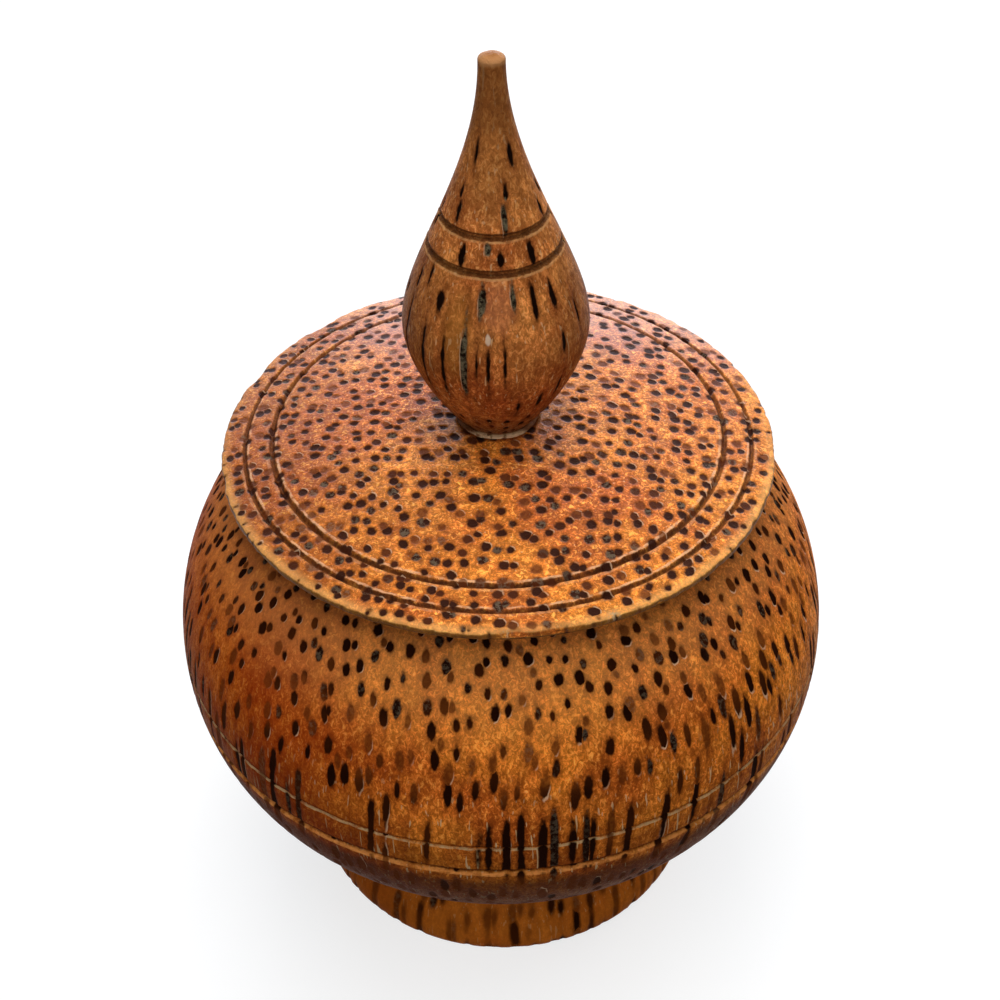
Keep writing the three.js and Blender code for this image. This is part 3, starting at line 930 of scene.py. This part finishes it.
def lid_wear(radius, height, place):
    """Chips out of the edge, and torn lips on both sides of the grooves."""
    if lid_hidden(radius, height) or radius < SPIGOT_RADIUS:
        return 0, 0
    chips = above(0.22, place, 0.23) + 0.35 * above(0.1, place, 0.9)
    at_rim = max(0.0, (radius - RIM_WEAR_RADIUS) / (LID_RADIUS - RIM_WEAR_RADIUS))
    frayed = FINE_FRAY * (1 + noise.noise(place * 1.7)) + COARSE_FRAY * abs(noise.noise(place * 0.8))
    inwards = at_rim * (CHIP_INWARDS * chips + frayed)
    lips = near(radius, [middle - width / 2 for middle, width, _ in LID_GROOVES], LIP_REACH)
    lips += near(radius, [middle + width / 2 for middle, width, _ in LID_GROOVES], LIP_REACH)
    on_top = height > LID_TOP_EDGE - 0.4
    upwards = LID_LIP_TEAR * lips * noise.noise(place * 1.3) - at_rim * on_top * CHIP_DOWNWARDS * chips
    return inwards, upwards


def finial_wear(radius, height, place):
    """Torn lower lips of the grooves, and a tip that was cut off by hand."""
    lips = near(height, [middle - width / 2 for middle, width, _ in FINIAL_GROOVES], LIP_REACH)
    at_tip = max(0.0, (height - TIP_WEAR_HEIGHT) / (TIP_HEIGHT - TIP_WEAR_HEIGHT))
    inwards = FINIAL_LIP_TEAR * lips * noise.noise(place * 1.5)
    return inwards, -TIP_WEAR * at_tip * (0.5 + 0.5 * noise.noise(place * 1.2))


def bead_wear(radius, height, place):
    """Lumps as the glue was squeezed out."""
    lump = noise.noise(place * 0.55) + 0.5 * noise.noise(place * 1.6)
    rise = max(0.0, height - NECK[HEIGHT])
    outer_side = radius > BEAD_WEAR_RADIUS
    return BEAD_LUMPS * (1 + lump) * outer_side, -rise * (0.35 + 0.5 * lump)


# Where the bundles of each blank differ: by place in the piece, in mm

def nowhere(recipe, in_piece):
    return 0.0


def on_foot(recipe, in_piece):
    """1 on the foot, whose streaks are broad and soft."""
    return recipe.ramp(recipe.parts(in_piece)[2], 12.5, 10.5)


def widened_on_foot(recipe, in_piece):
    return recipe.times(on_foot(recipe, in_piece), -0.1)


def cleared_at_lid_corner(recipe, in_piece):
    """The bundles fade out at the lid's worn outer corner."""
    return recipe.ramp(recipe.from_axis(in_piece), LID_RADIUS - 1.0, LID_RADIUS - 0.3, 0.0, 0.3)


def darker_on_bowl(recipe, in_piece):
    """Blackest near the lid and low on the belly, and browner on the left and under the grooves."""
    along_x, _, height = recipe.parts(in_piece)
    near_lid = recipe.ramp(height, 46.0, 50.0, 0.0, 0.35)
    low_belly = recipe.ramp(height, 44.0, 40.0, 0.0, 0.35)
    under_grooves = recipe.ramp(height, 32.0, 30.0, 0.0, -0.65)
    on_left = recipe.ramp(along_x, -10.0, -22.0, 0.0, -0.1)
    return recipe.plus(recipe.plus(recipe.plus(near_lid, low_belly), under_grooves), on_left)


def cleared_on_finial(recipe, in_piece):
    """The front, where the placed streaks are, and the spire's end have no other bundles."""
    _, along_y, height = recipe.parts(in_piece)
    front = recipe.least(recipe.ramp(along_y, -0.5, -1.5), recipe.ramp(height, 65.5, 66.5))
    return recipe.most(front, recipe.ramp(height, 93.0, 94.0))


# Blanks, the wood that each piece is turned from. Lengths are in mm.
#   offset: where the piece lies in the palm stem
#   spacing, bundle_radius, bundle_edge: how far apart bundles stand, the thinnest and the thickest, and the
#     distances outwards from the edge at which a bundle begins and is at its full darkness
#   ghosts: how far large patches change the bundles
#   strength, faintest: levels at which a bundle is palest and darkest, and how much of the palest is seen
#   bundle, faint_bundle, dust, filling: swatches of both, the share of dust in some and its swatch
#   lit_side: direction of the painted crescent highlights
#   deep, light, halo, fleck: swatches of the ground's patches, round the bundles and of bright grain
#   flecks, grain: share of the bright flecks, and brightness of low and high grain
#   fibres, fibre_heights: levels of the thin pale fibres, and two heights with the share of them there
#   specular: how much of the surroundings the wax mirrors
#   marks, darker, cleared, blurred, streaks: what differs from place to place
BOWL_BLANK = SimpleNamespace(
    offset=(11.3, 4.7, 3.0), spacing=1.53, bundle_radius=(0.3, 0.48), bundle_edge=(0.08, -0.1),
    ghosts=1.3, strength=(0.15, 0.95), faintest=0.7, bundle="1e0b04", faint_bundle="5a2a0c",
    dust=0.25, filling="85755f", lit_side=(0.6, -0.8, 0.0),
    deep="c66020", light="ec862c", halo="7c3612", fleck="e8a248", flecks=0.65, grain=(0.54, 1.42),
    fibres=(0.66, 0.7), fibre_heights=(45.0, 35.0, 0.0, 1.0), specular=0.003,
    marks=bowl_marks, darker=darker_on_bowl, cleared=widened_on_foot, blurred=on_foot, streaks=(),
)
LID_BLANK = SimpleNamespace(
    offset=(-23.1, 17.9, 41.0), spacing=1.58, bundle_radius=(0.41, 0.56), bundle_edge=(0.13, -0.15),
    ghosts=0.9, strength=(0.0, 0.5), faintest=0.75, bundle="331406", faint_bundle="642e10",
    dust=0.5, filling="85755f", lit_side=(0.7, 0.7, 0.0),
    deep="ce6628", light="ec8a2f", halo="a0501e", fleck="fcbc56", flecks=0.85, grain=(0.58, 1.4),
    fibres=(0.7, 0.78), fibre_heights=(50.0, 60.0, 0.6, 0.6), specular=0.1,
    marks=lid_marks, darker=nowhere, cleared=cleared_at_lid_corner, blurred=nowhere, streaks=(),
)
FINIAL_BLANK = SimpleNamespace(
    offset=(5.9, -31.3, 27.0), spacing=1.36, bundle_radius=(0.18, 0.34), bundle_edge=(0.07, -0.1),
    ghosts=0.8, strength=(0.1, 0.6), faintest=0.5, bundle="120602", faint_bundle="582610",
    dust=0.5, filling="6a604a", lit_side=(-0.6, -0.8, 0.0),
    deep="ac5828", light="d88642", halo="7c3c1c", fleck="d8a05c", flecks=0.6, grain=(0.6, 1.36),
    fibres=(0.66, 0.72), fibre_heights=(60.0, 90.0, 0.6, 0.4), specular=0.014,
    marks=finial_marks, darker=nowhere, cleared=cleared_on_finial, blurred=nowhere, streaks=FINIAL_STREAKS,
)


# Studio

def seen_directly(recipe):
    """1 for rays that show the background itself: straight, mirrored or through glass."""
    path = recipe.add("ShaderNodeLightPath").node
    seen = recipe.most(path.outputs["Is Camera Ray"], path.outputs["Is Glossy Ray"])
    return recipe.most(seen, path.outputs["Is Transmission Ray"])


def pale_floor():
    """Paper that takes the object's shadow nearby and is seen as plain white further off."""
    bpy.ops.mesh.primitive_plane_add(size=FLOOR_SIZE, location=(0, 0, -FLOOR_DROP))
    floor = bpy.context.object
    floor.name = "studio_floor"
    paper = bpy.data.materials.new("studio_paper")
    paper.use_nodes = True
    tree = paper.node_tree
    tree.nodes.clear()
    recipe = Recipe(tree)
    seen = seen_directly(recipe)
    distance = recipe.measure("LENGTH", recipe.add("ShaderNodeTexCoord", output="Object"))
    far = recipe.ramp(distance, *FLOOR_FADES)
    seen_grey = recipe.grey(recipe.ramp(far, 0.0, 1.0, *FLOOR_GREY))
    lit = recipe.add("ShaderNodeBsdfDiffuse", {"Color": recipe.tint(seen, FLOOR_UNSEEN, seen_grey)})
    strength = recipe.times(seen, recipe.ramp(far, 0.0, 1.0, *FLOOR_GLOW))
    glow = recipe.add("ShaderNodeEmission", {"Color": WHITE, "Strength": strength})
    both = recipe.add("ShaderNodeAddShader", {0: lit, 1: glow})
    recipe.add("ShaderNodeOutputMaterial", {"Surface": both})
    floor.data.materials.append(paper)


def pale_room():
    """White surroundings where they are seen, which shed almost no light on the object."""
    world = bpy.data.worlds.new("studio_room")
    world.use_nodes = True
    tree = world.node_tree
    tree.nodes.clear()
    recipe = Recipe(tree)
    seen = seen_directly(recipe)
    ray = recipe.add("ShaderNodeTexCoord", output="Generated")
    backdrop = recipe.ramp(recipe.parts(ray)[2], *ROOM_FADES, ROOM_OVERHEAD, 1.0)
    strength = recipe.scaled(recipe.times(seen, backdrop), ROOM_SEEN, ROOM_UNSEEN)
    back = recipe.add("ShaderNodeBackground", {"Color": WHITE, "Strength": strength})
    recipe.add("ShaderNodeOutputWorld", {"Surface": back})
    bpy.context.scene.world = world


def soft_light(name, place, aim, size, strength, colour):
    data = bpy.data.lights.new(name, "AREA")
    data.shape = "RECTANGLE"
    data.size, data.size_y = size
    data.energy = strength
    data.color = colour
    lamp = bpy.data.objects.new(name, data)
    lamp.location = place
    lamp.rotation_mode = "QUATERNION"
    lamp.rotation_quaternion = (Vector(aim) - Vector(place)).to_track_quat("-Z", "Y")
    lamp.visible_camera = False
    bpy.context.scene.collection.objects.link(lamp)


def photo_camera():
    data = bpy.data.cameras.new("photo_camera")
    data.sensor_width = CAMERA_SENSOR
    data.lens = CAMERA_LENS
    data.shift_x = CAMERA_SHIFT
    data.clip_start = CAMERA_NEAREST
    camera = bpy.data.objects.new("photo_camera", data)
    tilt = Matrix.Rotation(math.radians(90 - CAMERA_DOWN), 4, "X")
    roll = Matrix.Rotation(math.radians(CAMERA_ROLL), 4, "Z")
    camera.matrix_world = Matrix.Translation(CAMERA_PLACE) @ tilt @ roll
    bpy.context.scene.collection.objects.link(camera)
    bpy.context.scene.camera = camera
    bpy.context.scene.view_settings.view_transform = "Standard"


# Making

def finished(piece, body, node, material):
    piece.data.materials.append(material)
    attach(piece, body)
    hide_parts(node)


photo_camera()
pale_floor()
pale_room()
for lamp in LAMPS:
    soft_light(*lamp)

bowl = pitted(turned("bowl_turned", bowl_outline(), BOWL_SIDES), BOWL_BLANK)
lid = pitted(turned("lid_turned", lid_outline(), BOWL_SIDES), LID_BLANK)
finial = pitted(turned("finial_turned", finial_outline(), FINIAL_SIDES), FINIAL_BLANK)
bead = turned("glue_squeezed_out", bead_outline(), BEAD_SIDES)
worn(bowl, bowl_wear, bowl_hidden)
worn(lid, lid_wear, lid_hidden)
worn(finial, finial_wear, finial_hidden)
worn(bead, bead_wear, bead_hidden)
finished(bowl, "bowl", "bowl", palm_wood("bowl_wood", BOWL_BLANK))
finished(lid, "lid", "lid", palm_wood("lid_wood", LID_BLANK))
finished(finial, "lid", "finial", palm_wood("finial_wood", FINIAL_BLANK))
finished(bead, "lid", "glue_bead", dried_glue())
